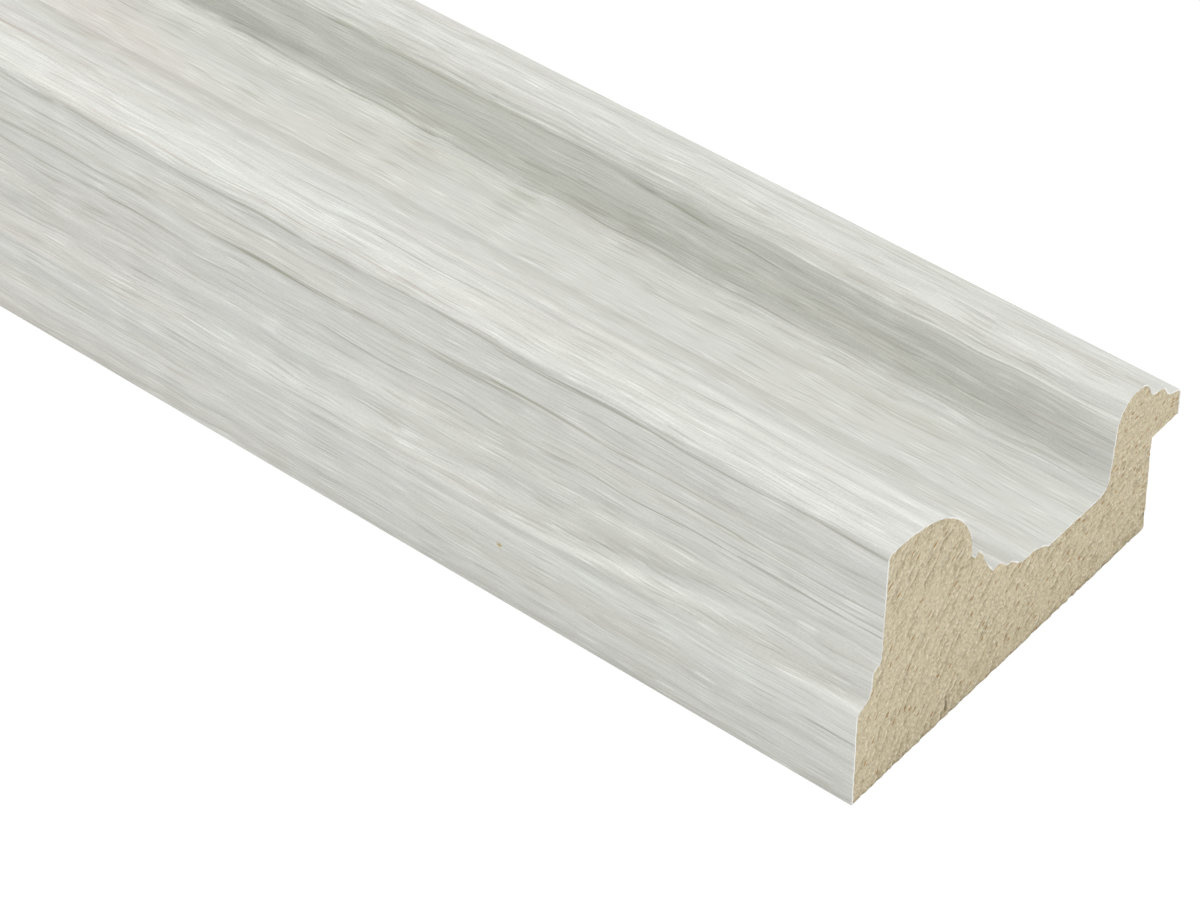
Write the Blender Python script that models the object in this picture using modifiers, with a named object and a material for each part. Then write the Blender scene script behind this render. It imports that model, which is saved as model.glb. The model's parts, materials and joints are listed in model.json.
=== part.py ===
"""A length of picture frame moulding, cut square at both ends.

Two pieces: a milled wooden stick, and the printed film that is bonded over its show face.
The section stands in the XZ plane with the outer side at -X and the sight edge at +X, the stick
runs along Y, and the flat back lies on Z = 0. The origin is the middle of the back.
"""

import math

import bpy
from mathutils import Vector

MM = 0.001

# Driving dimensions
WIDTH = 76 * MM  # outer side to sight edge
LENGTH = 210 * MM
ROLL_HEIGHT = 42.7 * MM  # back to the top of the outer roll
LIP_HEIGHT = 30.6 * MM  # back to the top of the inner lip
FLOOR_HEIGHT = 15.7 * MM  # back to the floor of the scoop
RABBET_WIDTH = 6.7 * MM
RABBET_HEIGHT = 17.9 * MM
FILM_THICKNESS = 0.4 * MM
FILM_CLEARANCE = 0.3 * MM  # between the film and the wood, and below the film's lowest edge

# Outer side: a leaning plinth, its rounded toe, a cove, a small step, and the tall side
PLINTH_LEAN = 0.4 * MM
TOE_HEIGHT = 16.7 * MM
TOE_ROUND = 1 * MM
STEP_X = 3.5 * MM
STEP_FOOT_HEIGHT = 19.9 * MM
STEP_HEIGHT = 22.4 * MM
STEP_LEAN = 0.2 * MM
STEP_NOSE = 0.9 * MM
SIDE_X = 5.5 * MM
SIDE_HEIGHT = 24.7 * MM
ARRIS_X = 6.3 * MM
ARRIS_ROUND = 1.05 * MM

# Roll: the broad shoulder, the round fall, the quirk and the small bead beside it
SHOULDER_X = 14 * MM
SHOULDER_FALL = 0.6 * MM
QUIRK_X = 25.9 * MM
QUIRK_HEIGHT = 27.2 * MM
QUIRK_WIDTH = 0.6 * MM
QUIRK_DEPTH = 0.8 * MM
ROLL_END_HEIGHT = 30.2 * MM
BEAD_END_X = 28.9 * MM
BEAD_END_HEIGHT = 25.3 * MM

# Scoop: the bead's fall, a low shelf, the flat floor and the cove up to the inner wall
SLOPE_X = 31.5 * MM
SLOPE_HEIGHT = 20.7 * MM
SHELF_X = 38.4 * MM
SHELF_HEIGHT = 17.5 * MM
SHELF_WIDTH = 2.4 * MM
SHELF_RISE = 1.1 * MM
SHELF_COVE = 1.8 * MM
FLOOR_X = 44.6 * MM
WALL_X = 58.7 * MM
WALL_COVE = 2 * MM

# Inner lip: the leaning wall, the round lip, the second bead, and the slope to the sight edge
LIP_X = 59.7 * MM
LIP_SHOULDER_HEIGHT = 26.2 * MM
LIP_TOP_X = 63.1 * MM
LIP_TOP_END_X = 65.9 * MM
LIP_END_X = 68.1 * MM
LIP_END_HEIGHT = 27.8 * MM
LIP_CROWN = 0.2 * MM
SECOND_BEAD_X = 69.5 * MM
SECOND_BEAD_HEIGHT = 26.7 * MM
SECOND_BEAD_END_X = 72.4 * MM
SECOND_BEAD_END_HEIGHT = 24.7 * MM
SIGHT_SLOPE_X = 74.2 * MM
SIGHT_SLOPE_HEIGHT = 23.4 * MM
SIGHT_HEIGHT = 23.2 * MM
SIGHT_ROUND = 1.1 * MM

ARC_STEP = math.radians(9)  # most that a round stretch turns between two points

WOOD_COLOR = (0.60, 0.50, 0.36, 1)
FILM_COLOR = (0.66, 0.67, 0.62, 1)


class Outline:
    """A line drawn in the section with straight and round stretches, with the air on its left."""

    def __init__(self, x, z):
        self.points = [Vector((x, z))]

    def line(self, x, z):
        """A straight stretch to (x, z)."""
        self.points.append(Vector((x, z)))

    def arc(self, x, z, bow):
        """A round stretch to (x, z) that stands bow out from its chord; a hollow has a bow below 0."""
        start, end = self.points[-1], Vector((x, z))
        chord = end - start
        half = chord.length / 2
        outward = Vector((-chord.y, chord.x)).normalized()
        radius = (half**2 + bow**2) / (2 * abs(bow))
        centre = (start + end) / 2 + outward * (bow - math.copysign(radius, bow))
        sweep = 4 * math.atan(abs(bow) / half)
        steps = max(2, math.ceil(sweep / ARC_STEP))
        turn = -math.copysign(sweep / steps, bow)
        spoke = start - centre
        for step in range(1, steps):
            cos, sin = math.cos(turn * step), math.sin(turn * step)
            turned = Vector((spoke.x * cos - spoke.y * sin, spoke.x * sin + spoke.y * cos))
            self.points.append(centre + turned)
        self.points.append(end)


def draw_outer_side(outline):
    """Plinth with a rounded toe, a cove, a small step, and the tall side up to the top arris."""
    outline.line(PLINTH_LEAN, TOE_HEIGHT)
    outline.arc(PLINTH_LEAN + TOE_ROUND, TOE_HEIGHT + TOE_ROUND, bow=0.25 * MM)
    outline.arc(STEP_X, STEP_FOOT_HEIGHT, bow=-0.45 * MM)
    outline.line(STEP_X + STEP_LEAN, STEP_HEIGHT)
    outline.arc(STEP_X + STEP_LEAN + STEP_NOSE, STEP_HEIGHT + STEP_NOSE, bow=0.2 * MM)
    outline.arc(SIDE_X, SIDE_HEIGHT, bow=-0.35 * MM)
    outline.line(ARRIS_X, ROLL_HEIGHT - ARRIS_ROUND)
    outline.arc(ARRIS_X + ARRIS_ROUND, ROLL_HEIGHT - 0.05 * MM, bow=0.3 * MM)


def draw_roll(outline):
    """The broad top, its round fall towards the scoop, and the small bead beside the quirk."""
    outline.arc(SHOULDER_X, ROLL_HEIGHT - SHOULDER_FALL, bow=0.25 * MM)
    outline.arc(QUIRK_X, ROLL_END_HEIGHT, bow=2.65 * MM)
    outline.line(QUIRK_X, QUIRK_HEIGHT + QUIRK_DEPTH)
    outline.line(QUIRK_X + QUIRK_WIDTH, QUIRK_HEIGHT)
    outline.arc(BEAD_END_X, BEAD_END_HEIGHT, bow=0.65 * MM)


def draw_scoop(outline):
    """The bead's fall, a low shelf, the flat floor and the cove that turns up into the inner wall."""
    outline.arc(SLOPE_X, SLOPE_HEIGHT, bow=-0.2 * MM)
    outline.arc(SHELF_X - SHELF_COVE, SHELF_HEIGHT + SHELF_RISE, bow=0.2 * MM)
    outline.arc(SHELF_X, SHELF_HEIGHT, bow=-0.15 * MM)
    outline.line(SHELF_X + SHELF_WIDTH, SHELF_HEIGHT)
    outline.arc(FLOOR_X, FLOOR_HEIGHT, bow=0.2 * MM)
    outline.line(WALL_X - WALL_COVE, FLOOR_HEIGHT)
    outline.arc(WALL_X, FLOOR_HEIGHT + WALL_COVE, bow=-0.5 * MM)


def draw_lip(outline):
    """The inner wall, the round lip, the second bead and the sight edge."""
    outline.line(LIP_X, LIP_SHOULDER_HEIGHT)
    outline.arc(LIP_TOP_X, LIP_HEIGHT - LIP_CROWN, bow=0.8 * MM)
    outline.arc(LIP_TOP_END_X, LIP_HEIGHT - LIP_CROWN, bow=LIP_CROWN)
    outline.arc(LIP_END_X, LIP_END_HEIGHT, bow=0.45 * MM)
    outline.arc(SECOND_BEAD_X, SECOND_BEAD_HEIGHT, bow=-0.3 * MM)
    outline.arc(SECOND_BEAD_END_X, SECOND_BEAD_END_HEIGHT, bow=0.6 * MM)
    outline.arc(SIGHT_SLOPE_X, SIGHT_SLOPE_HEIGHT, bow=-0.25 * MM)
    outline.line(WIDTH - SIGHT_ROUND, SIGHT_HEIGHT)
    outline.arc(WIDTH, SIGHT_HEIGHT - SIGHT_ROUND, bow=0.25 * MM)
    outline.line(WIDTH, RABBET_HEIGHT)


def face_line():
    """The show face, from the lowest edge of the film to the lower corner of the sight edge."""
    outline = Outline(0, FILM_CLEARANCE)
    draw_outer_side(outline)
    draw_roll(outline)
    draw_scoop(outline)
    draw_lip(outline)
    return outline.points


def set_in(points, distance):
    """The line that runs at that distance behind an open line, with mitred corners."""
    moved = []
    for index, point in enumerate(points):
        arriving = point - points[index - 1] if index else points[1] - point
        leaving = points[index + 1] - point if index + 1 < len(points) else arriving
        inward = Vector((arriving.y, -arriving.x)).normalized()
        mitre = (inward + Vector((leaving.y, -leaving.x)).normalized()).normalized()
        moved.append(point + mitre * distance / mitre.dot(inward))
    return moved


def core_outline():
    """The stick's closed section: the wood behind the film, then the rabbet and the back."""
    wood = set_in(face_line(), FILM_THICKNESS + FILM_CLEARANCE)
    rabbet_x = WIDTH - RABBET_WIDTH
    rabbet = [Vector((rabbet_x, RABBET_HEIGHT)), Vector((rabbet_x, 0))]
    back_corner = Vector((wood[0].x, 0))
    return [*wood, *rabbet, back_corner]


def make_material(name, color, roughness):
    """A plain opaque finish."""
    material = bpy.data.materials.new(name)
    material.use_nodes = True
    shader = material.node_tree.nodes["Principled BSDF"]
    shader.inputs["Base Color"].default_value = color
    shader.inputs["Roughness"].default_value = roughness
    shader.inputs["Metallic"].default_value = 0
    material.diffuse_color = color
    return material


def run_section(name, points, closed, material, collection):
    """A curve object that runs a line of the section along the whole length of the stick."""
    curve = bpy.data.curves.new(name, "CURVE")
    curve.dimensions = "2D"
    curve.fill_mode = "BOTH" if closed else "NONE"
    curve.extrude = LENGTH / 2
    spline = curve.splines.new("POLY")
    spline.points.add(len(points) - 1)
    for control, point in zip(spline.points, points):
        control.co = (point.x - WIDTH / 2, point.y, 0, 1)
    spline.use_cyclic_u = closed
    curve.materials.append(material)
    stick = bpy.data.objects.new(name, curve)
    stick.rotation_euler = (math.radians(90), 0, 0)
    collection.objects.link(stick)
    return stick


def make_wood_core(collection):
    """The milled stick, a filled section run along its length."""
    wood = make_material("milled wood", WOOD_COLOR, roughness=0.75)
    run_section("wood_core", core_outline(), True, wood, collection)


def make_film_wrap(collection):
    """The film, an open ribbon over the face that thickens inwards."""
    film = make_material("printed film", FILM_COLOR, roughness=0.45)
    wrap = run_section("film_wrap", face_line(), False, film, collection)
    skin = wrap.modifiers.new("thickness", "SOLIDIFY")
    skin.thickness = FILM_THICKNESS
    skin.offset = -1
    skin.use_even_offset = True


def main():
    for old in list(bpy.data.objects):
        bpy.data.objects.remove(old)
    collection = bpy.data.collections.new("picture frame moulding")
    bpy.context.scene.collection.children.link(collection)
    make_wood_core(collection)
    make_film_wrap(collection)


main()
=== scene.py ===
"""Looks of a length of picture frame moulding: a sawn wooden stick under a wood-print film.

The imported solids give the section, the length and the rabbet. Everything here is in metres and in
their frame: the stick runs along Y, its flat back lies on Z = 0, its outer side is at -X, its sight
edge at +X, and the near cut faces -Y. Girth is measured over the show face, from the film's lowest
edge on the outer side up and over to the lower corner of the sight edge. Reach is measured along the
stick from the near cut.
"""

import json
import logging
import math
from collections import Counter
from dataclasses import dataclass
from enum import Enum

import bpy
import numpy as np
from mathutils import Euler, Matrix, Vector
from mathutils.geometry import delaunay_2d_cdt


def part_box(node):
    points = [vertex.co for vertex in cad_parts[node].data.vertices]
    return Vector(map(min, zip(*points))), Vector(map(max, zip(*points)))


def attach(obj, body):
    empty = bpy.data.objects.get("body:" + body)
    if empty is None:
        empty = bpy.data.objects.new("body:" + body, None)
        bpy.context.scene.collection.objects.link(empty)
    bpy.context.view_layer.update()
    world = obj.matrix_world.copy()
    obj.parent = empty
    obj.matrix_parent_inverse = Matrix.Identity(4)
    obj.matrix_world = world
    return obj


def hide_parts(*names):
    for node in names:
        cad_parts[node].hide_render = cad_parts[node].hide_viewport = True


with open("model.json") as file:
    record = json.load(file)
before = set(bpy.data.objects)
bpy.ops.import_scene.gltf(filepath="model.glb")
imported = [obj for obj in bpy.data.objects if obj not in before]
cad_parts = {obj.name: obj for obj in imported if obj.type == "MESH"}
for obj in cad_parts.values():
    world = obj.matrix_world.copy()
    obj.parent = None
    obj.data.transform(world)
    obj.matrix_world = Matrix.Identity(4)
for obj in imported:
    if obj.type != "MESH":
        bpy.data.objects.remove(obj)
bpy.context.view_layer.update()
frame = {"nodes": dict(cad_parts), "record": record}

MM = 0.001
BODY = "root"
UNROLLED = "unrolled"  # the film's attribute: girth, reach, 0
TORN = "torn"  # the stick's attribute: where the saw's tears get painted shadow on the edge, painted highlight on the lip and painted shade in the hollow
BAKE_MAP = "OFBake"  # the UV map laid out flat for baking textures

LOG = logging.getLogger("moulding")

Numbers = np.ndarray
Color = tuple[float, float, float, float]
Socket = bpy.types.NodeSocket
Feed = float | tuple[float, ...] | Socket


def smooth_step(low: float, high: float, value: Numbers) -> Numbers:
    """Rises from 0 at low to 1 at high with eased ends."""
    share = np.clip((value - low) / (high - low), 0, 1)
    return share * share * (3 - 2 * share)


@dataclass(frozen=True)
class Ripples:
    """Smooth seeded noise from -1 to 1 over a plane, with a cell of its own size each way."""

    across: float
    along: float
    seed: int
    side: int = 64  # cells each way before it repeats

    def at(self, x: Numbers, y: Numbers) -> Numbers:
        """Reads the noise.

        Args:
            x: Places across, in metres.
            y: Places along, in metres.

        Returns:
            The noise at each place.
        """
        table = np.random.default_rng(self.seed).uniform(-1, 1, (self.side, self.side))
        column, row = x / self.across, y / self.along
        left, low = np.floor(column).astype(int), np.floor(row).astype(int)
        over, up = smooth_step(0, 1, column - left), smooth_step(0, 1, row - low)
        left, low = left % self.side, low % self.side
        right, high = (left + 1) % self.side, (low + 1) % self.side
        under = table[left, low] * (1 - over) + table[right, low] * over
        above = table[left, high] * (1 - over) + table[right, high] * over
        return under * (1 - up) + above * up


class CutEnd(Enum):
    """The two square cuts, each with the direction along Y that it faces."""

    NEAR = -1
    FAR = 1


class SectionLine:
    """A line drawn in the section as rows of (x, z), with the air on its left."""

    STRAIGHT = 4 * MM  # a stretch between two points that is longer than this is a straight one
    CORNER = math.radians(22)  # a turn sharper than this is a corner

    def __init__(self, points: Numbers) -> None:
        """Keeps the points."""
        self.points = np.asarray(points, float)

    @classmethod
    def over_the_face(cls, node: str) -> "SectionLine":
        """Reads the show face from the film's solid.

        Args:
            node: The solid's name.

        Returns:
            The line from the film's lowest edge to the lower corner of the sight edge.
        """
        mesh = frame["nodes"][node].data
        mesh.calc_loop_triangles()
        places = [tuple(round(value / MM, 3) for value in vertex.co) for vertex in mesh.vertices]
        near = min(place[1] for place in places)
        sides: Counter[tuple[tuple[float, ...], ...]] = Counter()
        for triangle in mesh.loop_triangles:
            corners = [places[index] for index in triangle.vertices]
            if all(corner[1] == near for corner in corners):
                for first, second in zip(corners, corners[1:] + corners[:1]):
                    sides[tuple(sorted((first, second)))] += 1
        beside: dict[tuple[float, ...], list[tuple[float, ...]]] = {}
        for (first, second), uses in sides.items():
            if uses == 1:
                beside.setdefault(first, []).append(second)
                beside.setdefault(second, []).append(first)
        start = min(beside)
        end = max(beside, key=lambda place: (place[0], -place[2]))
        walk = [start, max(beside[start], key=lambda place: place[2] - 100 * abs(place[0] - start[0]))]
        while walk[-1] != end:
            walk.append(next(place for place in beside[walk[-1]] if place != walk[-2]))
        return cls([(place[0] * MM, place[2] * MM) for place in walk])

    def steps(self) -> tuple[Numbers, Numbers]:
        """The direction and the length of each stretch."""
        moves = np.diff(self.points, axis=0)
        lengths = np.linalg.norm(moves, axis=1)
        return moves / lengths[:, None], lengths

    def girth(self) -> Numbers:
        """How far along the line each point lies."""
        return np.concatenate([[0], np.cumsum(self.steps()[1])])

    def rounded(self, spacing: float) -> "SectionLine":
        """Redraws the facets of round stretches as smooth curves, and keeps straights and corners.

        Args:
            spacing: The most that lies between two points of the new line.

        Returns:
            The finer line.
        """
        ways, lengths = self.steps()
        turn = np.arccos(np.clip((ways[1:] * ways[:-1]).sum(1), -1, 1))
        shared = ways[:-1] * lengths[:-1, None] + ways[1:] * lengths[1:, None]
        shared /= np.linalg.norm(shared, axis=1)[:, None]
        fine = [self.points[:1]]
        for index, (way, length) in enumerate(zip(ways, lengths)):
            leave, arrive = way, way
            if length < self.STRAIGHT:
                if index > 0 and turn[index - 1] < self.CORNER:
                    leave = shared[index - 1]
                if index < len(turn) and turn[index] < self.CORNER:
                    arrive = shared[index]
            count = math.ceil(length / spacing)
            t = (np.arange(1, count + 1) / count)[:, None]
            start, end = self.points[index], self.points[index + 1]
            fine.append(
                (2 * t**3 - 3 * t**2 + 1) * start
                + (t**3 - 2 * t**2 + t) * leave * length
                + (3 * t**2 - 2 * t**3) * end
                + (t**3 - t**2) * arrive * length
            )
        lowest, highest = self.points.min(0), self.points.max(0)
        return SectionLine(np.clip(np.concatenate(fine), lowest, highest))

    def inward(self) -> Numbers:
        """At each point, the way into the wood, lengthened at corners as a mitre is."""
        ways, _ = self.steps()
        before, after = np.vstack([ways[:1], ways]), np.vstack([ways, ways[-1:]])
        first = np.column_stack([before[:, 1], -before[:, 0]])
        second = np.column_stack([after[:, 1], -after[:, 0]])
        mitre = first + second
        mitre /= np.linalg.norm(mitre, axis=1)[:, None]
        return mitre / (mitre * first).sum(1)[:, None]

    def set_in(self, distance: float) -> "SectionLine":
        """The line that runs at that distance behind this one."""
        return SectionLine(self.points + self.inward() * distance)


@dataclass(frozen=True)
class Section:
    """The measures that both pieces share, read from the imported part."""

    face: SectionLine
    length: float
    rabbet_x: float
    rabbet_height: float

    @classmethod
    def from_frame(cls, film_node: str, spacing: float) -> "Section":
        """Reads the section.

        Args:
            film_node: The name of the film's solid.
            spacing: The most that lies between two points of the face line.

        Returns:
            The section.
        """
        low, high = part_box(film_node)
        mounts = {mount["name"]: mount["pos_m"] for mount in frame["record"]["mounts"]}
        face = SectionLine.over_the_face(film_node)
        foot = (face.points[0, 0], 0.02 * MM)  # the real film runs down to the back
        face = SectionLine(np.vstack([foot, face.points]))
        wall, ledge = mounts["rabbet_wall"], mounts["rabbet_ledge"]
        return cls(face.rounded(spacing), high.y - low.y, wall[0], ledge[2])


@dataclass(frozen=True)
class TornGrain:
    """The torn steps that a coarse saw leaves across end grain.

    Each stroke of the saw lifts the softer half of a growth ring, so a tear hangs below a ring line,
    is as wide as the stroke, has a sharp edge along the ring and down its left side, and fades out
    below. The same marks shape the relief and carry painted light: painted shadow along the edges,
    a painted highlight on the lips and painted shade in the hollows and the split. Towards the sight
    edge the strokes are narrower, and on the inner lip there are few.
    """

    pith: tuple[float, float] = (38 * MM, -36 * MM)
    ring: float = 1.75 * MM
    stroke: float = 3.3 * MM
    narrowing: float = 6.5 * MM
    calm_from: float = -2 * MM
    lip: tuple[float, float] = (20 * MM, 18 * MM)
    split: tuple[float, float, float] = (-16.5 * MM, 0.6 * MM, 4.2 * MM)
    depth: float = 0.34 * MM
    fade: float = 0.8 * MM
    edge: float = 0.18 * MM
    seed: int = 11

    def marks(self, x: Numbers, z: Numbers) -> tuple[Numbers, Numbers, Numbers]:
        """Works out the tears at places on the cut.

        Args:
            x: Places across the section.
            z: Heights.

        Returns:
            The edges, the lips above them and the hollows below, each from 0 to 1; they shape the relief and place
            the painted shadow, painted highlight and painted shade.
        """
        rng = np.random.default_rng(self.seed)
        strength = (0.35 + 0.65 * rng.random((64, 80))) * (rng.random((64, 80)) < 0.84)
        shift = rng.uniform(-0.42, 0.42, (64, 80))
        width = rng.uniform(0.45, 1, (64, 80))
        jitter = rng.uniform(-0.22, 0.22, 80)
        radius = np.hypot(x - self.pith[0], z - self.pith[1])
        radius += 0.5 * MM * Ripples(7 * MM, 6 * MM, 3).at(x, z)
        radius += 0.3 * MM * Ripples(1 * MM, 0.8 * MM, 4).at(x, z)
        calm = smooth_step(self.calm_from, self.calm_from + 10 * MM, x)
        on_lip = smooth_step(0, 2 * MM, x - self.lip[0]) * smooth_step(0, 2 * MM, z - self.lip[1])
        strokes = 20 + x / self.stroke + np.maximum(x - self.calm_from, 0) / self.narrowing
        strokes += 0.16 * Ripples(9 * MM, 4 * MM, 5).at(x, z) + 0.07 * Ripples(1 * MM, 1 * MM, 6).at(x, z)
        edges, lips, hollows = (np.zeros_like(x) for _ in range(3))
        for step in range(3):
            line = np.floor(radius / self.ring).astype(int) + step
            column = np.floor(strokes + jitter[line % 80]).astype(int)
            inside = strokes + jitter[line % 80] - column
            cell = column % 64, line % 80
            below = (line + shift[cell]) * self.ring - radius
            force = strength[cell] * (1 - 0.75 * on_lip)
            span = smooth_step(0, 0.05, inside) * (1 - smooth_step(width[cell] - 0.35, width[cell], inside))
            hooked = np.exp(-((inside * self.stroke / self.edge) ** 2))
            hanging = np.exp(-((np.maximum(below, 0) / (self.fade * (1 + 0.6 * calm))) ** 2)) * (below > 0)
            edge = force * span * np.exp(-((below / self.edge) ** 2)) * (1 - 0.4 * calm)
            edge = np.maximum(edge, force * hooked * hanging * 0.85)
            lip = force * span * np.exp(-(((below + 1.7 * self.edge) / self.edge) ** 2))
            edges = np.maximum(edges, edge)
            lips = np.maximum(lips, lip)
            hollows = np.maximum(hollows, force * span * hanging)
        opened = np.exp(-(((x - self.split[0]) / (0.22 * MM)) ** 2)) * smooth_step(0, 0.6 * MM, z - self.split[1])
        opened *= smooth_step(0, 0.8 * MM, self.split[2] - z)
        return np.maximum(edges, opened), lips, np.maximum(hollows, opened)

    def relief(self, x: Numbers, z: Numbers) -> Numbers:
        """How far the torn cut lies behind the plane of the saw."""
        edges, lips, hollows = self.marks(x, z)
        fuzz = 0.03 * MM * (1 + Ripples(0.42 * MM, 0.42 * MM, 8).at(x, z))
        return fuzz + self.depth * (0.2 + 0.65 * hollows + 0.35 * edges - 0.2 * lips)


class NodeSheet:
    """Places and links the nodes of one shader tree."""

    def __init__(self, tree: bpy.types.NodeTree) -> None:
        """Keeps the tree."""
        self.tree = tree

    def feed(self, socket: Socket, value: Feed) -> None:
        """Links another socket into this one, or sets its value."""
        if isinstance(value, bpy.types.NodeSocket):
            self.tree.links.new(value, socket)
        else:
            socket.default_value = value

    def node(self, kind: str, feeds: dict[str | int, Feed] | None = None, **settings: object) -> bpy.types.Node:
        """Adds a node.

        Args:
            kind: Its type, without the ShaderNode in front.
            feeds: What goes into its inputs, by their names or places.
            settings: Its other properties.

        Returns:
            The node.
        """
        made = self.tree.nodes.new("ShaderNode" + kind)
        for name, value in settings.items():
            setattr(made, name, value)
        for name, value in (feeds or {}).items():
            self.feed(made.inputs[name], value)
        return made

    def math(self, operation: str, *terms: Feed) -> Socket:
        """Works on numbers."""
        return self.node("Math", dict(enumerate(terms)), operation=operation).outputs[0]

    def blend(self, share: Feed, first: Feed, second: Feed, mode: str = "MIX") -> Socket:
        """Mixes two colours."""
        feeds = {0: share, 6: first, 7: second}
        return self.node("Mix", feeds, data_type="RGBA", blend_type=mode).outputs[2]

    def ranged(self, value: Feed, low: Feed, high: Feed, to_low: float = 0, to_high: float = 1) -> Socket:
        """Eases a number from one range into another, and holds it there."""
        feeds = {"Value": value, "From Min": low, "From Max": high, "To Min": to_low, "To Max": to_high}
        return self.node("MapRange", feeds, interpolation_type="SMOOTHSTEP").outputs[0]

    def window(self, value: Feed, rise: tuple[float, float], fall: tuple[float, float]) -> Socket:
        """Rises from 0 to 1 over the first range and falls back to 0 over the second."""
        return self.math("MULTIPLY", self.ranged(value, *rise), self.ranged(value, *fall, 1, 0))

    def noise(self, vector: Feed, detail: Feed = 0, space: str = "2D") -> Socket:
        """Smooth noise around 0.5 whose cells are one unit wide."""
        feeds = {"Vector": vector, "Scale": 1, "Detail": detail, "Roughness": 0.6}
        return self.node("TexNoise", feeds, noise_dimensions=space).outputs[0]

    def split(self, vector: Feed) -> tuple[Socket, Socket, Socket]:
        """The three parts of a vector."""
        return tuple(self.node("SeparateXYZ", {0: vector}).outputs)

    def join(self, x: Feed, y: Feed, z: Feed = 0) -> Socket:
        """A vector from its three parts."""
        return self.node("CombineXYZ", {0: x, 1: y, 2: z}).outputs[0]

    def cells(self, vector: Feed, across: Feed, along: Feed, seed: Feed) -> Socket:
        """A place counted in cells of that size, moved aside by its seed."""
        x, y, _ = self.split(vector)
        columns = self.math("MULTIPLY_ADD", seed, 17.3, self.math("DIVIDE", x, across))
        rows = self.math("MULTIPLY_ADD", seed, 5.9, self.math("DIVIDE", y, along))
        return self.join(columns, rows)

    def total(self, *terms: Feed) -> Socket:
        """The sum of several numbers."""
        found = terms[0]
        for term in terms[1:]:
            found = self.math("ADD", found, term)
        return found

    def scaled(self, value: Feed, factor: Feed) -> Socket:
        """A number times a factor."""
        return self.math("MULTIPLY", value, factor)

    def toned(self, color: Feed, tone: Feed) -> Socket:
        """A colour made lighter or darker by a factor."""
        return self.node("VectorMath", {0: color, "Scale": tone}, operation="SCALE").outputs[0]


class Effect:
    """A shader node group, built once and placed in each material with its own values."""

    NAME = ""
    INPUTS: dict[str, float | tuple[float, float, float]] = {}
    OUTPUTS: tuple[str, ...] = ("Mask",)

    def __init__(self) -> None:
        """Builds the group."""
        self.tree = bpy.data.node_groups.new(self.NAME, "ShaderNodeTree")
        for label, value in self.INPUTS.items():
            kind = "NodeSocketVector" if isinstance(value, tuple) else "NodeSocketFloat"
            socket = self.tree.interface.new_socket(label, in_out="INPUT", socket_type=kind)
            socket.default_value = value
        for label in self.OUTPUTS:
            self.tree.interface.new_socket(label, in_out="OUTPUT", socket_type="NodeSocketFloat")
        given = self.tree.nodes.new("NodeGroupInput").outputs
        wanted = self.tree.nodes.new("NodeGroupOutput").inputs
        sheet = NodeSheet(self.tree)
        for label, value in self.draw(sheet, given).items():
            sheet.feed(wanted[label], value)

    def draw(self, sheet: NodeSheet, given: bpy.types.bpy_prop_collection) -> dict[str, Socket]:
        """Draws the nodes between the inputs and the outputs.

        Args:
            sheet: Where the nodes go.
            given: The group's inputs.

        Returns:
            What each output puts out.
        """
        raise NotImplementedError

    def place(self, sheet: NodeSheet, vector: Feed, *values: Feed) -> Socket:
        """Places the group in a material.

        Args:
            sheet: The material's nodes.
            vector: The group's first input.
            values: The group's other inputs, in their order.

        Returns:
            The group's first output.
        """
        return self.placed(sheet, vector, *values)[0]

    def placed(self, sheet: NodeSheet, *values: Feed) -> list[Socket]:
        """Places the group and gives all its outputs."""
        node = sheet.node("Group", {}, node_tree=self.tree)
        for index, value in enumerate(values):
            sheet.feed(node.inputs[index], value)
        return list(node.outputs)


class Fibres(Effect):
    """Marks stretched along the grain, where long noise rises from one level to another."""

    NAME = "long fibres"
    INPUTS = {
        "Vector": (0.0, 0.0, 0.0),
        "Across": 1 * MM,
        "Along": 10 * MM,
        "Low": 0.5,
        "High": 0.7,
        "Seed": 0.0,
    }

    def draw(self, sheet: NodeSheet, given: bpy.types.bpy_prop_collection) -> dict[str, Socket]:
        """Draws the group; see Effect.draw."""
        cells = sheet.cells(given["Vector"], given["Across"], given["Along"], given["Seed"])
        return {"Mask": sheet.ranged(sheet.noise(cells), given["Low"], given["High"])}


class Grain(Effect):
    """Finer and finer unevenness along the grain, lighter or darker around 0."""

    NAME = "uneven grain"
    INPUTS = {
        "Vector": (0.0, 0.0, 0.0),
        "Across": 1 * MM,
        "Along": 10 * MM,
        "Strength": 1.0,
        "Detail": 2.0,
        "Seed": 0.0,
    }
    OUTPUTS = ("Value",)

    def draw(self, sheet: NodeSheet, given: bpy.types.bpy_prop_collection) -> dict[str, Socket]:
        """Draws the group; see Effect.draw."""
        cells = sheet.cells(given["Vector"], given["Across"], given["Along"], given["Seed"])
        off = sheet.math("SUBTRACT", sheet.noise(cells, given["Detail"]), 0.5)
        return {"Value": sheet.scaled(off, given["Strength"])}


class Veins(Effect):
    """Thin wavy lines along the grain, where long noise passes through its middle."""

    NAME = "thin veins"
    INPUTS = {"Vector": (0.0, 0.0, 0.0), "Across": 3 * MM, "Along": 60 * MM, "Thin": 0.01, "Seed": 0.0}

    def draw(self, sheet: NodeSheet, given: bpy.types.bpy_prop_collection) -> dict[str, Socket]:
        """Draws the group; see Effect.draw."""
        cells = sheet.cells(given["Vector"], given["Across"], given["Along"], given["Seed"])
        off = sheet.math("ABSOLUTE", sheet.math("SUBTRACT", sheet.noise(cells), 0.5))
        return {"Mask": sheet.ranged(off, 0, given["Thin"], 1, 0)}


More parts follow.
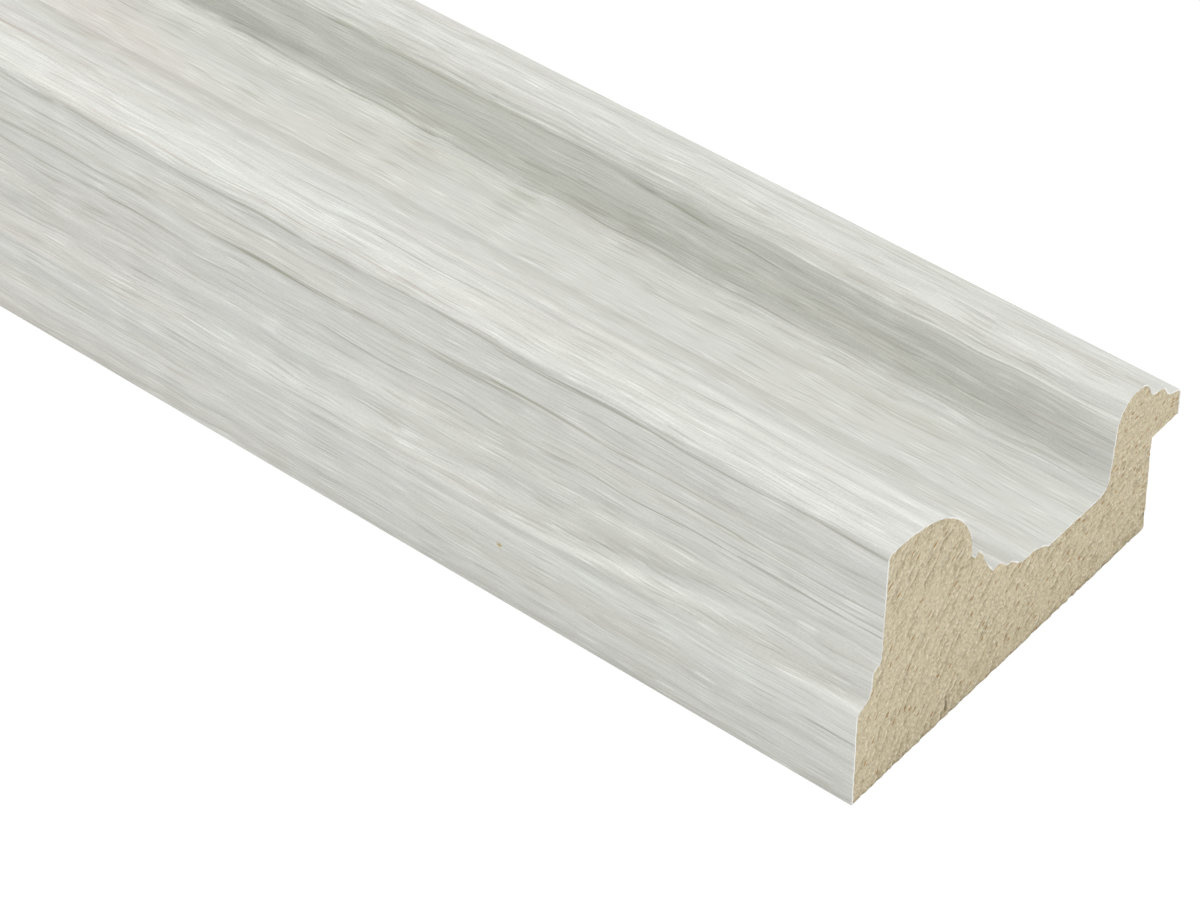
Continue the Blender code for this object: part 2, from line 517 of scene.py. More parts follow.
class Streaks(Effect):
    """One printed streak at a given girth, which may slope, between two reaches."""

    NAME = "printed streak"
    INPUTS = {
        "Vector": (0.0, 0.0, 0.0),
        "Girth": 0.0,
        "Slope": 0.0,
        "Width": 0.5 * MM,
        "Middle": 100 * MM,
        "Half Length": 100 * MM,
        "Feather": 14 * MM,
        "Force": 1.0,
    }

    def draw(self, sheet: NodeSheet, given: bpy.types.bpy_prop_collection) -> dict[str, Socket]:
        """Draws the group; see Effect.draw."""
        girth, reach, _ = sheet.split(given["Vector"])
        run = sheet.math("SUBTRACT", reach, given["Middle"])
        centre = sheet.math("MULTIPLY_ADD", run, given["Slope"], given["Girth"])
        off = sheet.math("ABSOLUTE", sheet.math("SUBTRACT", girth, centre))
        core = sheet.ranged(off, 0, given["Width"], given["Force"], 0)
        skirt = sheet.ranged(off, 0, sheet.scaled(given["Width"], 3), sheet.scaled(given["Force"], 0.35), 0)
        left = sheet.math("SUBTRACT", given["Half Length"], sheet.math("ABSOLUTE", run))
        held = sheet.ranged(left, 0, given["Feather"])
        return {"Mask": sheet.math("MULTIPLY", sheet.math("ADD", core, skirt), held)}


class Flecks(Effect):
    """Scattered specks, one at most in each cell."""

    NAME = "flecks"
    INPUTS = {
        "Vector": (0.0, 0.0, 0.0),
        "Across": 1 * MM,
        "Along": 1 * MM,
        "Size": 0.2,
        "Share": 0.5,
        "Seed": 0.0,
    }

    def draw(self, sheet: NodeSheet, given: bpy.types.bpy_prop_collection) -> dict[str, Socket]:
        """Draws the group; see Effect.draw."""
        place = sheet.cells(given["Vector"], given["Across"], given["Along"], given["Seed"])
        cells = sheet.node("TexVoronoi", {"Vector": place, "Scale": 1}, voronoi_dimensions="2D")
        spot = sheet.ranged(cells.outputs["Distance"], sheet.scaled(given["Size"], 0.4), given["Size"], 1, 0)
        chance = sheet.split(cells.outputs["Color"])[0]
        return {"Mask": sheet.scaled(spot, sheet.math("LESS_THAN", chance, given["Share"]))}


class GrowthLines(Effect):
    """The lines of a wood's growth: each darkens slowly to a sharp edge, and each has its own force."""

    NAME = "growth lines"
    INPUTS = {"Vector": (0.0, 0.0, 0.0), "Pitch": 2 * MM, "Rise": 3.0, "Seed": 0.0}

    def draw(self, sheet: NodeSheet, given: bpy.types.bpy_prop_collection) -> dict[str, Socket]:
        """Draws the group; see Effect.draw."""
        across, _, _ = sheet.split(given["Vector"])
        lines = sheet.math("DIVIDE", across, given["Pitch"])
        share = sheet.math("FRACT", lines)
        number = sheet.math("ADD", sheet.math("FLOOR", lines), given["Seed"])
        force = sheet.node("TexWhiteNoise", {"W": number}, noise_dimensions="1D").outputs[0]
        line = sheet.math("MULTIPLY", sheet.math("POWER", share, given["Rise"]), sheet.ranged(share, 0.93, 1, 1, 0))
        return {"Mask": sheet.math("MULTIPLY", line, sheet.ranged(force, 0, 1, 0.15, 1))}


class RingPlace(Effect):
    """Where a point lies in the tree: its distance from the pith, and how far round it is."""

    NAME = "place in the tree"
    INPUTS = {"Vector": (0.0, 0.0, 0.0), "Pith X": 0.0, "Pith Z": 0.0, "Sway": 0.5 * MM}
    OUTPUTS = ("Radius", "Around")
    TYPICAL_RADIUS = 70 * MM

    def draw(self, sheet: NodeSheet, given: bpy.types.bpy_prop_collection) -> dict[str, Socket]:
        """Draws the group; see Effect.draw."""
        x, y, z = sheet.split(given["Vector"])
        right = sheet.math("SUBTRACT", x, given["Pith X"])
        up = sheet.math("SUBTRACT", z, given["Pith Z"])
        square = sheet.math("ADD", sheet.math("POWER", right, 2), sheet.math("POWER", up, 2))
        place = sheet.join(sheet.scaled(x, 125), sheet.scaled(y, 16), sheet.scaled(z, 125))
        sway = sheet.scaled(sheet.math("SUBTRACT", sheet.noise(place, space="3D"), 0.5), given["Sway"])
        angle = sheet.math("ARCTAN2", up, right)
        return {
            "Radius": sheet.math("ADD", sheet.math("SQRT", square), sway),
            "Around": sheet.scaled(angle, self.TYPICAL_RADIUS),
        }


@dataclass(frozen=True)
class Effects:
    """The groups that the finishes share."""

    fibres: Fibres
    grain: Grain
    veins: Veins
    streaks: Streaks
    flecks: Flecks
    growth_lines: GrowthLines
    ring_place: RingPlace

    @classmethod
    def build(cls) -> "Effects":
        """Builds every group once."""
        return cls(Fibres(), Grain(), Veins(), Streaks(), Flecks(), GrowthLines(), RingPlace())


def new_material(name: str, roughness: float, preview: Color) -> tuple[bpy.types.Material, NodeSheet, bpy.types.Node]:
    """Starts a material with a Principled shader.

    Args:
        name: The material's name.
        roughness: Its roughness, where nothing is linked to it.
        preview: Its colour in a plain viewport.

    Returns:
        The material, its nodes and its shader.
    """
    material = bpy.data.materials.new(name)
    material.use_nodes = True
    material.diffuse_color = preview
    shader = material.node_tree.nodes["Principled BSDF"]
    shader.inputs["Roughness"].default_value = roughness
    return material, NodeSheet(material.node_tree), shader


class Tone(Enum):
    """What a printed streak is printed in."""

    OLIVE = (0.240, 0.238, 0.165, 1)
    BROWN = (0.270, 0.175, 0.115, 1)
    AMBER = (0.420, 0.310, 0.050, 1)
    PALE = (0.900, 0.920, 0.870, 1)


@dataclass(frozen=True)
class Streak:
    """One streak along the face, from the near cut towards the far one: most are print, and the broad pale band over
    the wall is painted light.
    """

    girth: float
    start: float
    end: float
    width: float
    force: float
    slope: float = 0
    tone: Tone = Tone.OLIVE

    @property
    def middle(self) -> float:
        """The reach halfway along it."""
        return (self.start + self.end) / 2

    @property
    def half_length(self) -> float:
        """Half of its length."""
        return (self.end - self.start) / 2

    @property
    def feather(self) -> float:
        """The length over which each end fades out."""
        return min(14 * MM, 0.7 * self.half_length)

    @property
    def middle_girth(self) -> float:
        """The girth halfway along it."""
        return self.girth + self.slope * self.half_length


STREAKS = (
    Streak(44.1 * MM, -20 * MM, 230 * MM, 0.38 * MM, 0.36),
    Streak(43.7 * MM, 8 * MM, 72 * MM, 0.3 * MM, 0.3),
    Streak(46.1 * MM, 60 * MM, 200 * MM, 0.25 * MM, 0.25, 0.001, Tone.BROWN),
    Streak(37.2 * MM, -20 * MM, 78 * MM, 0.5 * MM, 0.34, 0.001),
    Streak(36.9 * MM, 50 * MM, 122 * MM, 0.75 * MM, 0.34, -0.02),
    Streak(37.6 * MM, 52 * MM, 96 * MM, 0.25 * MM, 0.22, -0.012),
    Streak(35.7 * MM, 92 * MM, 215 * MM, 0.6 * MM, 0.4, -0.008),
    Streak(40.7 * MM, 38 * MM, 56 * MM, 0.2 * MM, 0.5, -0.003),
    Streak(40.5 * MM, 90 * MM, 215 * MM, 0.2 * MM, 0.42, -0.002),
    Streak(34.0 * MM, -20 * MM, 50 * MM, 0.2 * MM, 0.45, 0.003),
    Streak(31.5 * MM, -20 * MM, 36 * MM, 0.25 * MM, 0.34, 0.004),
    Streak(30.5 * MM, -20 * MM, 86 * MM, 0.16 * MM, 0.55, -0.004),
    Streak(29.9 * MM, 76 * MM, 140 * MM, 0.22 * MM, 0.45, 0.001),
    Streak(31.6 * MM, 122 * MM, 215 * MM, 0.25 * MM, 0.45, -0.002),
    Streak(51.2 * MM, 62 * MM, 132 * MM, 0.18 * MM, 0.4),
    Streak(54.7 * MM, 20 * MM, 120 * MM, 0.16 * MM, 0.3),
    Streak(53.6 * MM, 146 * MM, 190 * MM, 0.4 * MM, 0.34, 0, Tone.BROWN),
    Streak(11.5 * MM, -8 * MM, 12 * MM, 0.22 * MM, 0.5),
    Streak(10.8 * MM, 62.4 * MM, 63.5 * MM, 0.34 * MM, 0.8, 0, Tone.AMBER),
    Streak(14.1 * MM, 14 * MM, 88 * MM, 0.3 * MM, 0.4, 0.003, Tone.PALE),
    Streak(14.8 * MM, 112 * MM, 168 * MM, 0.3 * MM, 0.35, 0, Tone.PALE),
    Streak(107.4 * MM, 122 * MM, 129 * MM, 0.7 * MM, 0.28, 0, Tone.BROWN),
    Streak(110.4 * MM, -20 * MM, 230 * MM, 0.3 * MM, 0.3),
    Streak(116.2 * MM, -10 * MM, 24 * MM, 0.25 * MM, 0.35, 0, Tone.BROWN),
    Streak(117 * MM, 48 * MM, 96 * MM, 0.35 * MM, 0.5, 0.09),
    Streak(120.9 * MM, 84 * MM, 180 * MM, 0.22 * MM, 0.5, 0.002),
    Streak(121.8 * MM, -20 * MM, 190 * MM, 0.2 * MM, 0.4, 0.001, Tone.PALE),
    # Painted light: a broad pale band the whole length of the wall, lifting the occlusion shade there.
    Streak(117 * MM, -60 * MM, 270 * MM, 5 * MM, 0.13, 0, Tone.PALE),
    # Two faint dark bands the whole length, at fixed girths.
    Streak(45.4 * MM, -60 * MM, 270 * MM, 1.4 * MM, 0.1),
    Streak(130.6 * MM, -60 * MM, 270 * MM, 3.5 * MM, 0.16),
)


@dataclass(frozen=True)
class PrintedFilm:
    """The show face: a pale grey-green wood print on a satin film."""

    base: Color = (0.628, 0.635, 0.596, 1)
    shade: Color = (0.235, 0.232, 0.160, 1)
    khaki: Color = (0.430, 0.400, 0.250, 1)
    bright: Color = (0.900, 0.920, 0.870, 1)
    blush: Color = (0.640, 0.560, 0.520, 1)
    roughness: float = 0.42

    def material(self, effects: Effects) -> bpy.types.Material:
        """Draws the print.

        Args:
            effects: The shared groups.

        Returns:
            The material.
        """
        made, sheet, shader = new_material("printed film", self.roughness, self.base)
        place = sheet.node("Attribute", attribute_name=UNROLLED).outputs["Vector"]
        girth, reach, _ = sheet.split(place)
        figure, wandered = self.bent(sheet, girth, reach)
        force = self.liveliness(sheet, girth)
        color = self.bands(sheet, effects, reach, figure, force)
        color = self.named_streaks(sheet, effects, wandered, color)
        color = self.ticks(sheet, effects, wandered, color)
        long = effects.grain.place(sheet, figure, 2.4 * MM, 260 * MM, 0.42, 3, 13.0)
        fine = effects.grain.place(sheet, wandered, 0.32 * MM, 11 * MM, 0.2, 1, 14.0)
        grit = effects.grain.place(sheet, place, 0.3 * MM, 0.55 * MM, 0.14, 1, 15.0)
        tone = sheet.math("MULTIPLY_ADD", sheet.total(long, fine, grit), force, 1)
        sheet.feed(shader.inputs["Base Color"], sheet.toned(color, tone))
        bump = sheet.node("Bump", {"Height": fine, "Strength": 1, "Distance": 0.2 * MM})
        sheet.feed(shader.inputs["Normal"], bump.outputs[0])
        return made

    def bent(self, sheet: NodeSheet, girth: Socket, reach: Socket) -> tuple[Socket, Socket]:
        """Bends the grain, so that it wanders and runs aslant where the print does.

        Args:
            sheet: The material's nodes.
            girth: The place over the face.
            reach: The place along the stick.

        Returns:
            The place in the bent grain, and the place with the small wander alone.
        """
        wide = sheet.noise(sheet.join(sheet.scaled(girth, 60), sheet.scaled(reach, 14)), 1)
        fine = sheet.noise(sheet.join(sheet.scaled(girth, 220), sheet.scaled(reach, 75)))
        wander = sheet.scaled(sheet.math("SUBTRACT", fine, 0.5), 0.9 * MM)
        sway = sheet.scaled(sheet.math("SUBTRACT", wide, 0.5), 3 * MM)
        side = sheet.window(girth, (11 * MM, 18.5 * MM), (19 * MM, 30 * MM))
        drop = sheet.math("MULTIPLY", side, sheet.ranged(reach, -8 * MM, 100 * MM, 0, 9 * MM))
        wall = sheet.window(girth, (108 * MM, 114 * MM), (119 * MM, 126 * MM))
        climb = sheet.math("MULTIPLY", wall, sheet.scaled(reach, 0.05))
        small = sheet.math("ADD", girth, wander)
        large = sheet.total(small, sway, drop, sheet.scaled(climb, -1))
        return sheet.join(large, reach), sheet.join(small, reach)

    def bands(
        self, sheet: NodeSheet, effects: Effects, reach: Socket, figure: Socket, force: Socket
    ) -> Socket:
        """Lays the growth bands and the tints that the fine marks sit on.

        Args:
            sheet: The material's nodes.
            effects: The shared groups.
            reach: The place along the stick.
            figure: The place in the bent grain.
            force: How strongly the grain shows there.

        Returns:
            The colour.
        """
        lines = effects.growth_lines.place(sheet, figure, -6.1 * MM, 2.2, 7.0)
        pale = effects.fibres.place(sheet, figure, 3 * MM, 110 * MM, 0.52, 0.8, 3.0)
        warm = effects.fibres.place(sheet, figure, 4 * MM, 60 * MM, 0.52, 0.75, 4.0)
        cloud = effects.fibres.place(sheet, figure, 14 * MM, 40 * MM, 0.4, 0.7, 5.0)
        color = sheet.blend(sheet.math("MULTIPLY", lines, sheet.scaled(force, 0.2)), self.base, self.shade)
        color = sheet.blend(sheet.math("MULTIPLY", pale, sheet.scaled(force, 0.14)), color, self.bright)
        color = sheet.blend(sheet.scaled(warm, 0.08), color, self.khaki)
        far = sheet.ranged(reach, 110 * MM, 190 * MM, 0.06, 0.34)
        return sheet.blend(sheet.math("MULTIPLY", far, cloud), color, self.blush)

    def named_streaks(self, sheet: NodeSheet, effects: Effects, place: Socket, color: Socket) -> Socket:
        """Lays the single streaks that the print is known by, two faint full-length dark bands, and a broad pale band
        over the wall that is painted light.

        Args:
            sheet: The material's nodes.
            effects: The shared groups.
            place: The place with the small wander.
            color: The colour below.

        Returns:
            The colour with the streaks on it.
        """
        broken = effects.fibres.place(sheet, place, 0.5 * MM, 22 * MM, 0.25, 0.6, 6.0)
        for tone in Tone:
            masks = [
                effects.streaks.place(
                    sheet,
                    place,
                    streak.middle_girth,
                    streak.slope,
                    streak.width,
                    streak.middle,
                    streak.half_length,
                    streak.feather,
                    streak.force,
                )
                for streak in STREAKS
                if streak.tone is tone
            ]
            share = sheet.math("MULTIPLY", sheet.total(*masks), broken)
            color = sheet.blend(share, color, tone.value)
        return color

    def ticks(self, sheet: NodeSheet, effects: Effects, place: Socket, color: Socket) -> Socket:
        """Scatters short dark and pale dashes along the grain.

        Args:
            sheet: The material's nodes.
            effects: The shared groups.
            place: The place with the small wander.
            color: The colour below.

        Returns:
            The colour with the dashes on it.
        """
        dark = effects.fibres.place(sheet, place, 0.28 * MM, 10 * MM, 0.62, 0.78, 11.0)
        pale = effects.fibres.place(sheet, place, 0.22 * MM, 7 * MM, 0.64, 0.8, 12.0)
        color = sheet.blend(sheet.scaled(dark, 0.24), color, self.shade)
        return sheet.blend(sheet.scaled(pale, 0.36), color, self.bright)

    def liveliness(self, sheet: NodeSheet, girth: Socket) -> Socket:
        """How strongly the grain shows: more on the roll, where the extra contrast is partly painted glints over the
        print, and least in the scoop.
        """
        roll = sheet.window(girth, (44 * MM, 47 * MM), (60 * MM, 66 * MM))
        scoop = sheet.window(girth, (88 * MM, 94 * MM), (104 * MM, 110 * MM))
        return sheet.total(1, sheet.scaled(roll, 0.25), sheet.scaled(scoop, -0.6))


@dataclass(frozen=True)
class FilmEdge:
    """The cut edge and the underside of the film: plain white carrier."""

    color: Color = (0.93, 0.93, 0.90, 1)
    grey: Color = (0.76, 0.75, 0.70, 1)

    def material(self, effects: Effects) -> bpy.types.Material:
        """Makes the material.

        Args:
            effects: The shared groups.

        Returns:
            The material.
        """
        made, sheet, shader = new_material("film edge", 0.6, self.color)
        place = sheet.node("TexCoord").outputs["Object"]
        patchy = effects.fibres.place(sheet, place, 1.2 * MM, 1.2 * MM, 0.45, 0.75, 21.0)
        sheet.feed(shader.inputs["Base Color"], sheet.blend(patchy, self.color, self.grey))
        return made


@dataclass(frozen=True)
class SawnEndGrain:
    """The square cuts: pale tan end grain with growth rings, pores and the saw's tears, whose edges carry painted
    shadow, their lips painted highlight and their hollows painted shade.
    """

    tears: TornGrain
    base: Color = (0.690, 0.605, 0.420, 1)
    # hollow: painted shade in the tears' hollows, also the latewood's colour; edge: painted shadow along the tears'
    # edges; lip: painted highlight on their lips, also the pale flecks' colour
    hollow: Color = (0.400, 0.315, 0.175, 1)
    edge: Color = (0.130, 0.088, 0.036, 1)
    lip: Color = (0.880, 0.820, 0.650, 1)
    pore: Color = (0.200, 0.125, 0.050, 1)
    resin: Color = (0.360, 0.170, 0.030, 1)
    dark_ring: float = 57 * MM

    def material(self, effects: Effects) -> bpy.types.Material:
        """Draws the end grain.

        Args:
            effects: The shared groups.

        Returns:
            The material.
        """
        made, sheet, shader = new_material("sawn end grain", 0.8, self.base)
        place = sheet.node("TexCoord").outputs["Object"]
        x, _, z = sheet.split(place)
        cut = sheet.join(x, z)
        radius, around = effects.ring_place.placed(sheet, place, *self.tears.pith, 1.2 * MM)
        rings = sheet.join(radius, around)
        edge, lip, hollow = sheet.split(sheet.node("Attribute", attribute_name=TORN).outputs["Vector"])
        late = sheet.ranged(sheet.math("FRACT", sheet.scaled(radius, 1 / self.tears.ring)), 0.2, 0.95, 0, 0.14)
        color = sheet.blend(late, self.base, self.hollow)
        # Painted shade in the tears' hollows and the split, painted highlight on their lips, painted shadow along
        # their edges.
        color = sheet.blend(sheet.scaled(hollow, 0.62), color, self.hollow)
        color = sheet.blend(sheet.scaled(lip, 0.85), color, self.lip)
        color = sheet.blend(sheet.scaled(edge, 0.8), color, self.edge)
        color = sheet.blend(self.ring_line(sheet, effects, radius, rings, x), color, self.resin)
        pores = effects.flecks.place(sheet, rings, 0.55 * MM, 0.8 * MM, 0.32, 0.45, 32.0)
        color = sheet.blend(sheet.scaled(pores, 0.35), color, self.pore)
        specks = effects.flecks.place(sheet, rings, 1.5 * MM, 4.2 * MM, 0.15, 0.5, 33.0)
        color = sheet.blend(sheet.scaled(specks, 0.8), color, self.resin)
        halo = effects.flecks.place(sheet, cut, 0.9 * MM, 0.9 * MM, 0.3, 0.4, 34.0)
        color = sheet.blend(sheet.scaled(halo, 0.5), color, self.lip)
        grit = effects.grain.place(sheet, cut, 0.5 * MM, 0.5 * MM, 1, 2, 35.0)
        # Painted shade: darker over the lowest 0.9 mm of the cut, where it meets the floor.
        foot = sheet.ranged(z, 0, 0.9 * MM, -0.22, 0)
        tone = sheet.total(1, sheet.scaled(grit, 0.7), foot)
        sheet.feed(shader.inputs["Base Color"], sheet.toned(color, tone))
        bump = sheet.node("Bump", {"Height": grit, "Strength": 1, "Distance": 0.3 * MM})
        sheet.feed(shader.inputs["Normal"], bump.outputs[0])
        return made

    def ring_line(self, sheet: NodeSheet, effects: Effects, radius: Socket, rings: Socket, x: Socket) -> Socket:
        """The one dark ring that runs in dashes from the middle to the sight edge.

        Args:
            sheet: The material's nodes.
            effects: The shared groups.
            radius: The distance from the pith.
            rings: The place along and across the rings.
            x: The place across the section.

        Returns:
            Its mask.
        """
        off = sheet.math("ABSOLUTE", sheet.math("SUBTRACT", radius, self.dark_ring))
        line = sheet.math("MULTIPLY", sheet.ranged(off, 0, 0.3 * MM, 0.7, 0), sheet.ranged(x, 6 * MM, 10 * MM))
        dashes = effects.fibres.place(sheet, rings, 3 * MM, 1.3 * MM, 0.45, 0.6, 36.0)
        return sheet.math("MULTIPLY", line, dashes)


@dataclass(frozen=True)
class MilledWood:
    """The back and the rabbet: planed long grain of the same wood."""

    pith: tuple[float, float]
    base: Color = (0.620, 0.530, 0.370, 1)
    late: Color = (0.450, 0.350, 0.205, 1)
    pore: Color = (0.230, 0.155, 0.075, 1)
    pale: Color = (0.760, 0.690, 0.520, 1)

    def material(self, effects: Effects) -> bpy.types.Material:
        """Draws the long grain.

        Args:
            effects: The shared groups.

        Returns:
            The material.
        """
        made, sheet, shader = new_material("milled long grain", 0.72, self.base)
        place = sheet.node("TexCoord").outputs["Object"]
        x, y, z = sheet.split(place)
        radius, _ = effects.ring_place.placed(sheet, place, *self.pith, 3 * MM)
        rings = sheet.join(radius, y)
        across = sheet.join(sheet.math("ADD", x, z), y)
        bands = effects.fibres.place(sheet, rings, 1.9 * MM, 120 * MM, 0.4, 0.7, 41.0)
        fibres = effects.grain.place(sheet, across, 0.6 * MM, 18 * MM, 0.5, 2, 42.0)
        pores = effects.fibres.place(sheet, across, 0.16 * MM, 3.2 * MM, 0.64, 0.78, 43.0)
        shine = effects.fibres.place(sheet, across, 0.5 * MM, 9 * MM, 0.55, 0.8, 44.0)
        color = sheet.blend(sheet.scaled(bands, 0.4), self.base, self.late)
        color = sheet.blend(sheet.scaled(shine, 0.3), color, self.pale)
        color = sheet.blend(sheet.scaled(pores, 0.6), color, self.pore)
        sheet.feed(shader.inputs["Base Color"], sheet.toned(color, sheet.math("ADD", fibres, 1)))
        chatter = sheet.scaled(sheet.math("SINE", sheet.scaled(y, math.tau / (1.4 * MM))), 0.1)
        height = sheet.math("ADD", chatter, fibres)
        bump = sheet.node("Bump", {"Height": height, "Strength": 0.5, "Distance": 0.05 * MM})
        sheet.feed(shader.inputs["Normal"], bump.outputs[0])
        return made


def new_piece(
    name: str, points: Numbers, faces: list[tuple[int, ...]], wears: Numbers, materials: list[bpy.types.Material]
) -> bpy.types.Object:
    """Makes an object from its points and faces.

    Args:
        name: The object's name.
        points: Rows of x, y, z.
        faces: The corners of each face, counter-clockwise seen from outside.
        wears: Which material each face wears.
        materials: The materials.

    Returns:
        The object, smooth but for its sharp edges.
    """
    mesh = bpy.data.meshes.new(name)
    mesh.from_pydata(points.tolist(), [], faces)
    for material in materials:
        mesh.materials.append(material)
    mesh.polygons.foreach_set("material_index", wears.astype(np.int32))
    mesh.shade_smooth()
    mesh.set_sharp_from_angle(angle=math.radians(38))
    piece = bpy.data.objects.new(name, mesh)
    bpy.context.scene.collection.objects.link(piece)
    return piece


def give_attribute(piece: bpy.types.Object, name: str, values: Numbers) -> None:
    """Stores three numbers for each point of a piece's mesh."""
    attribute = piece.data.attributes.new(name, "FLOAT_VECTOR", "POINT")
    attribute.data.foreach_set("vector", np.ascontiguousarray(values, np.float32).ravel())


def give_bake_map(piece: bpy.types.Object, places: Numbers) -> None:
    """Lays the faces out on a UV map for baking textures.

    Args:
        piece: The piece.
        places: For each corner of each face, its place on the map.
    """
    layer = piece.data.uv_layers.new(name=BAKE_MAP)
    layer.uv.foreach_set("vector", np.ascontiguousarray(places, np.float32).ravel())


def corners_of(piece: bpy.types.Object) -> tuple[Numbers, Numbers]:
    """The point at each face corner, and the material of its face."""
    mesh = piece.data
    points = np.empty(len(mesh.loops), np.int32)
    mesh.loops.foreach_get("vertex_index", points)
    counts, wears = (np.empty(len(mesh.polygons), np.int32) for _ in range(2))
    mesh.polygons.foreach_get("loop_total", counts)
    mesh.polygons.foreach_get("material_index", wears)
    return points, np.repeat(wears, counts)


def fitted(values: Numbers, low: float, high: float) -> Numbers:
    """Numbers stretched to run from low to high."""
    least, most = values.min(), values.max()
    return low + (high - low) * (values - least) / (most - least)


def grid_faces(rows: int, columns: int, start: int = 0) -> list[tuple[int, int, int, int]]:
    """The quads between the points of a grid, each row of points after the other."""
    index = start + np.arange(rows * columns).reshape(rows, columns)
    quads = np.stack([index[:-1, :-1], index[1:, :-1], index[1:, 1:], index[:-1, 1:]], -1)
    return [tuple(quad) for quad in quads.reshape(-1, 4).tolist()]


@dataclass
class FilmWrap:
    """The film over the show face, as a thin skin with its cut edges."""

    section: Section
    thickness: float = 0.3 * MM
    station_pitch: float = 1.8 * MM
    relief: float = 0.035 * MM
    raggedness: float = 0.05 * MM
    torn_back: float = 0.9 * MM  # the most that the film is missing at the cut, over the bead's fall
    torn_x: tuple[float, float] = (-13 * MM, 0.5 * MM)

    def stations(self) -> Numbers:
        """The reaches at which the skin has points, closer together near the cuts."""
        length = self.section.length
        near = np.array([0, 0.25, 0.6, 1.1]) * MM
        middle = np.linspace(near[-1] + 0.7 * MM, length - near[-1] - 0.7 * MM, round(length / self.station_pitch))
        return np.concatenate([near, middle, length - near[::-1]])

    def sunk(self, girth: Numbers, reach: Numbers) -> Numbers:
        """How far the outer face lies behind the section's line, where the wood's fibres show through.

        Args:
            girth: Places over the face.
            reach: Places along the stick.

        Returns:
            The depth at each place.
        """
        fine = Ripples(0.95 * MM, 31 * MM, 51).at(girth, reach)
        wide = Ripples(3.1 * MM, 75 * MM, 52).at(girth, reach)
        waves = Ripples(9 * MM, 22 * MM, 53).at(girth, reach)
        total = 1 + 0.45 * fine + 0.35 * wide + 0.2 * waves
        edge = smooth_step(0, 2 * MM, girth) * (1 - smooth_step(girth.max() - 2 * MM, girth.max(), girth))
        return self.relief * total * edge

    def build(self, materials: list[bpy.types.Material]) -> bpy.types.Object:
        """Builds the skin.

        Args:
            materials: The print, then the edge.

        Returns:
            The piece.
        """
        line, stations = self.section.face, self.stations()
        rows, columns = len(line.points), len(stations)
        girth, reach = np.meshgrid(line.girth(), stations, indexing="ij")
        into = line.inward()[:, None, :]
        outer = line.points[:, None, :] + into * self.sunk(girth, reach)[:, :, None]
        inner = np.repeat(line.set_in(self.thickness).points[:, None, :], 2, axis=1)
        ragged = self.ragged(line)
        outer_y = self.placed(reach, ragged)
        inner_y = self.placed(np.repeat(stations[None, [0, -1]], rows, 0), ragged)
        points = np.concatenate([self.lifted(outer, outer_y), self.lifted(inner, inner_y)])
        faces = grid_faces(rows, columns)
        print_count = len(faces)
        faces += self.hidden_faces(rows, columns)
        wears = (np.arange(len(faces)) >= print_count).astype(int)
        piece = new_piece("film_skin", points, faces, wears, materials)
        give_attribute(piece, UNROLLED, self.unrolled(girth, reach))
        self.lay_out(piece, girth, reach)
        return piece

    def ragged(self, line: SectionLine) -> Numbers:
        """How far each point of the cut edge is drawn back: little, but more over the bead's fall."""
        girth, x = line.girth(), line.points[:, 0]
        still = np.zeros(len(girth))
        bites = np.maximum(Ripples(1.3 * MM, 1, 55).at(girth, still) + 0.25, 0)
        bites += 0.5 * np.maximum(Ripples(0.5 * MM, 1, 56).at(girth, still), 0)
        low, high = self.torn_x
        torn = smooth_step(low, low + 1 * MM, x) * (1 - smooth_step(high - 2 * MM, high, x))
        return self.raggedness * (1 + Ripples(0.7 * MM, 1, 54).at(girth, still)) + self.torn_back * torn * bites / 1.5

    def placed(self, reach: Numbers, ragged: Numbers) -> Numbers:
        """Y from reach, with each cut edge and what lies next to it drawn back."""
        y = reach.copy()
        for column, share in enumerate((1, 0.75, 0.4) if y.shape[1] > 6 else (1,)):
            y[:, column] += ragged * share
            y[:, -1 - column] -= ragged * share
        return y - self.section.length / 2

    @staticmethod
    def lifted(flat: Numbers, y: Numbers) -> Numbers:
        """Points of the skin from their places in the section and their Y."""
        return np.stack([flat[..., 0], y, flat[..., 1]], -1).reshape(-1, 3)

    @staticmethod
    def hidden_faces(rows: int, columns: int) -> list[tuple[int, ...]]:
        """The underside, the two cut edges and the two long edges.

        Args:
            rows: Points over the face.
            columns: Points along the stick.

        Returns:
            The faces.
        """
        under = rows * columns
        faces: list[tuple[int, ...]] = []
        for row in range(rows - 1):
            a, b = row * columns, (row + 1) * columns
            c, d = under + 2 * row, under + 2 * (row + 1)
            faces.append((c, c + 1, d + 1, d))
            faces.append((a, c, d, b))
            faces.append((a + columns - 1, b + columns - 1, d + 1, c + 1))
        first = tuple(range(columns))
        last = tuple((rows - 1) * columns + column for column in range(columns))
        faces.append((*first, under + 1, under))
        faces.append((*reversed(last), under + 2 * rows - 2, under + 2 * rows - 1))
        return faces

    @staticmethod
    def unrolled(girth: Numbers, reach: Numbers) -> Numbers:
        """Girth and reach for each point, the underside's after the face's."""
        under = girth[:, [0, -1]], reach[:, [0, -1]]
        across = np.concatenate([girth.ravel(), under[0].ravel()])
        along = np.concatenate([reach.ravel(), under[1].ravel()])
        return np.column_stack([across, along, np.zeros(len(across))])

